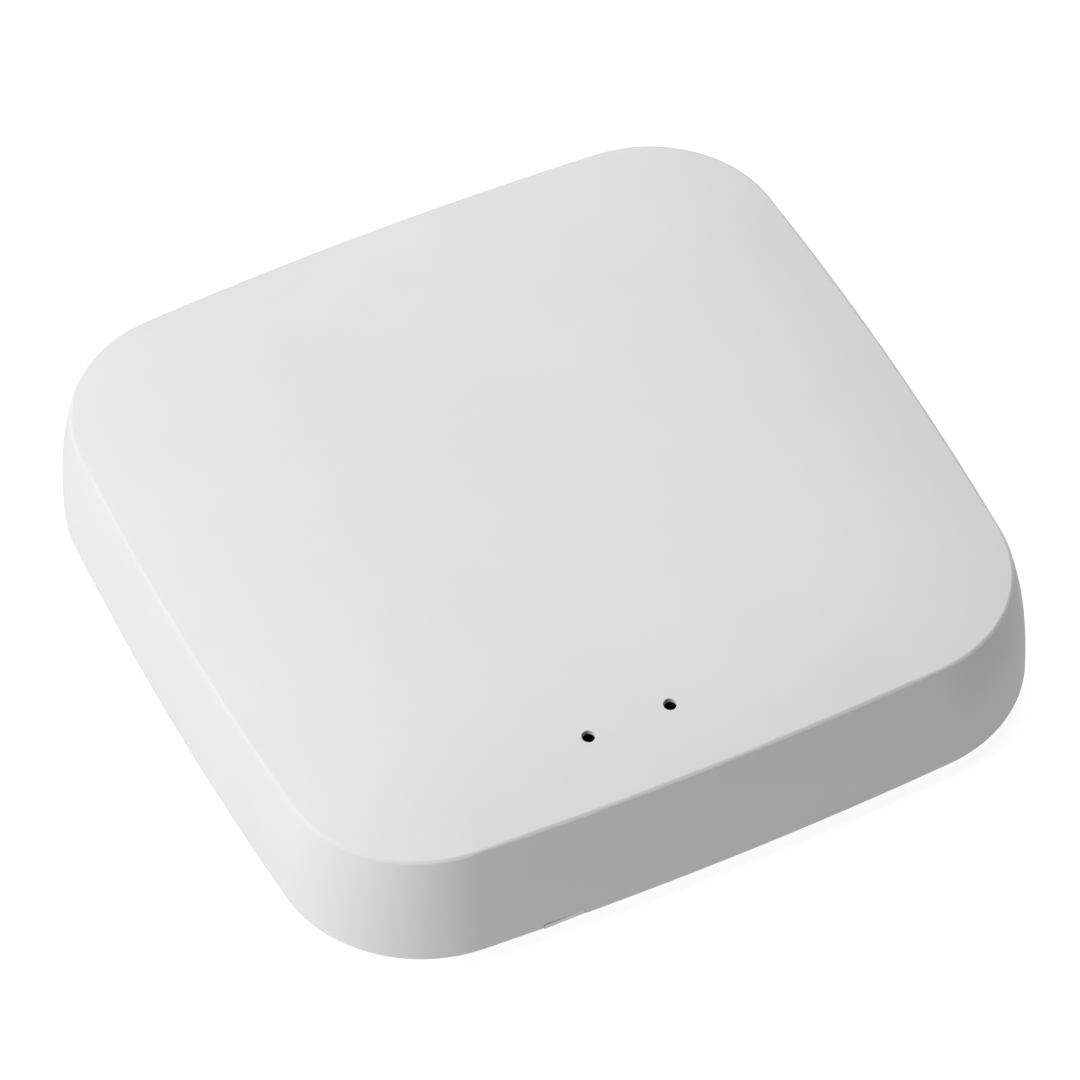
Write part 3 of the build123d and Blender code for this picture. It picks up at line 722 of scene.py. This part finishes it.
def make_snap_dome():
    """The switch's sprung disc, in its resting shape: a flat rim, a shallow dome and a dimple. The real disc
    flattens under the key; this one keeps its shape.
    """
    low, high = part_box("reset_switch_dome")
    centre, rim, sheet = (low + high) / 2, (high.x - low.x) / 2, 0.1 * MM
    rise, steps = high.y - low.y - sheet, 14
    lip, dimple, dimple_depth = 0.9, 0.2, 0.03 * MM

    def ring(share, face):
        """A ring of the disc's front or back face, this share of the way out to its rim."""
        bulge = rise * max(0.0, 1 - (share / lip) ** 2)
        dent = dimple_depth * max(0.0, 1 - (share / dimple) ** 2) ** 2
        place = Vector((centre.x, low.y + bulge - dent + face * sheet, centre.z))
        return round_ring(place, rim * share, 40, Vector((1, 0, 0)), up)

    shares = [0.02 + 0.98 * step / steps for step in range(steps + 1)]
    form = bmesh.new()
    skin(form, [ring(share, 1) for share in shares] + [ring(share, 0) for share in reversed(shares)])
    dome = smooth_piece("sprung_dome", form, "dome_steel")
    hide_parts("reset_switch_dome")
    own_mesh(dome)


# ---------------------------------------------------------------- what is under the hub


def make_ejector_marks():
    """The faint rings that the mould's ejector pins leave under the base plate."""
    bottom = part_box("base_plate")[0].z
    foot_low, foot_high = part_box("foot_front_right")
    reach, radius = (foot_low.x + foot_high.x) / 2, 1.5 * MM
    form = bmesh.new()
    for x, y in ((0, -1), (0, 1), (-1, 0), (1, 0), (-0.5, -1), (0.5, -1), (-0.5, 1), (0.5, 1)):
        washer(form, Vector((x * reach, y * reach, bottom)), radius - 0.08 * MM, radius, -0.03 * MM, 40)
    smooth_piece("ejector_marks", form, "base_white")


def make_label_print():
    """The blank label's printed border and its empty fields."""
    low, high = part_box("rating_label")
    line, margin = 0.2 * MM, Vector((1.4 * MM, 1.4 * MM, 0))
    ink = 0.01 * MM
    form = bmesh.new()
    frame_line(form, low + margin, high - margin, low.z - ink, ink, line, 0.8 * MM)
    field_low, field_high = low + 2.2 * margin, high - 2.2 * margin
    columns, rows, gap = 2, 3, 0.8 * MM
    width = (field_high.x - field_low.x - gap * (columns - 1)) / columns
    depth = (field_high.y - field_low.y - gap * (rows - 1)) / rows
    for column in range(columns):
        for row in range(rows):
            corner = field_low + Vector((column * (width + gap), row * (depth + gap), 0))
            frame_line(form, corner, corner + Vector((width, depth, 0)), low.z - ink, ink, line / 2, line)
    new_piece("label_print", form, "label_film", grey_ink)


make_solder_joints()
for module_name in module_names:
    make_module_pads(module_name)
    make_can_embossing(module_name)
make_tracks()
make_vias()
make_outlines()
make_polarity_bands()
make_inductor()
make_snap_dome()
make_ejector_marks()
make_label_print()


# ---------------------------------------------------------------- studio

camera_azimuth = -24.44
camera_elevation = 49.32
camera_roll = -2.03
camera_distance = 0.6459
camera_lens = 289.9
rim_height = 1.6 * MM
light_distance = 0.6
light_size = 0.42
soft_boxes = [  # each one's azimuth from +X, its elevation and its power in watts
    ("left", 178, 35, 3.55),
    ("back", 56, 36, 1.40),
    ("top", 90, 85, 1.98),
]
table_glow = 0.86
table_reach = 40  # hub widths from the middle to the table's edge
world_light = 0.03
backdrop_white = 1.0
aim = Vector((1.67 * MM, 3.48 * MM, rim_height))


def make_camera():
    """A long lens that looks down on the hub from its front left."""
    azimuth, elevation = math.radians(camera_azimuth), math.radians(camera_elevation)
    backward = Vector(
        (
            math.sin(azimuth) * math.cos(elevation),
            -math.cos(azimuth) * math.cos(elevation),
            math.sin(elevation),
        )
    )
    data = bpy.data.cameras.new("camera")
    data.lens = camera_lens
    data.sensor_width = 36
    data.clip_start, data.clip_end = camera_distance / 20, camera_distance * 20
    camera = bpy.data.objects.new("camera", data)
    bpy.context.scene.collection.objects.link(camera)
    upright = (-backward).to_track_quat("-Z", "Y").to_matrix().to_4x4()
    roll = Matrix.Rotation(math.radians(camera_roll), 4, "Z")
    camera.matrix_world = Matrix.Translation(aim + backward * camera_distance) @ upright @ roll
    bpy.context.scene.camera = camera


def make_floor():
    """A wide pale table of frosted acrylic, lit softly from below."""
    mesh = bpy.data.meshes.new("floor")
    half = hub_width * table_reach
    corners = [(-half, -half, 0), (half, -half, 0), (half, half, 0), (-half, half, 0)]
    mesh.from_pydata(corners, [], [(0, 1, 2, 3)])
    floor = bpy.data.objects.new("floor", mesh)
    bpy.context.scene.collection.objects.link(floor)
    material, shader = new_material("floor")
    paper = noise(material, 1.5 * MM, detail=3)
    feed(material, shader, "Base Color", tint(material, paper, (0.23, 0.23, 0.23), (0.25, 0.25, 0.25)))
    shader.inputs["Roughness"].default_value = 0.9
    shader.inputs["Specular IOR Level"].default_value = 0.0
    shader.inputs["Emission Color"].default_value = (1, 1, 1, 1)
    shader.inputs["Emission Strength"].default_value = table_glow
    mesh.materials.append(material)


def soft_box(name, azimuth, elevation, power):
    """A round soft light in this direction from the hub, facing it."""
    data = bpy.data.lights.new(name, "AREA")
    data.shape = "DISK"
    data.size = light_size
    data.energy = power
    light = bpy.data.objects.new(name, data)
    bpy.context.scene.collection.objects.link(light)
    turn, tilt = math.radians(azimuth), math.radians(elevation)
    towards = Vector((math.cos(turn) * math.cos(tilt), math.sin(turn) * math.cos(tilt), math.sin(tilt)))
    light.location = towards * light_distance
    light.rotation_euler = towards.to_track_quat("Z", "Y").to_euler()
    light.visible_camera = False


def make_world():
    """A white backdrop all round, which lights the hub only faintly."""
    world = bpy.data.worlds.new("studio")
    world.use_nodes = True
    background = world.node_tree.nodes["Background"]
    background.inputs["Color"].default_value = (1, 1, 1, 1)
    rays = world.node_tree.nodes.new("ShaderNodeLightPath")
    strength = world.node_tree.nodes.new("ShaderNodeMapRange")
    strength.inputs["To Min"].default_value = world_light
    strength.inputs["To Max"].default_value = backdrop_white
    world.node_tree.links.new(rays.outputs["Is Camera Ray"], strength.inputs["Value"])
    world.node_tree.links.new(strength.outputs["Result"], background.inputs["Strength"])
    bpy.context.scene.world = world
    bpy.context.scene.view_settings.view_transform = "Standard"


make_camera()
make_floor()
for box_name, box_azimuth, box_elevation, box_power in soft_boxes:
    soft_box(box_name, box_azimuth, box_elevation, box_power)
make_world()
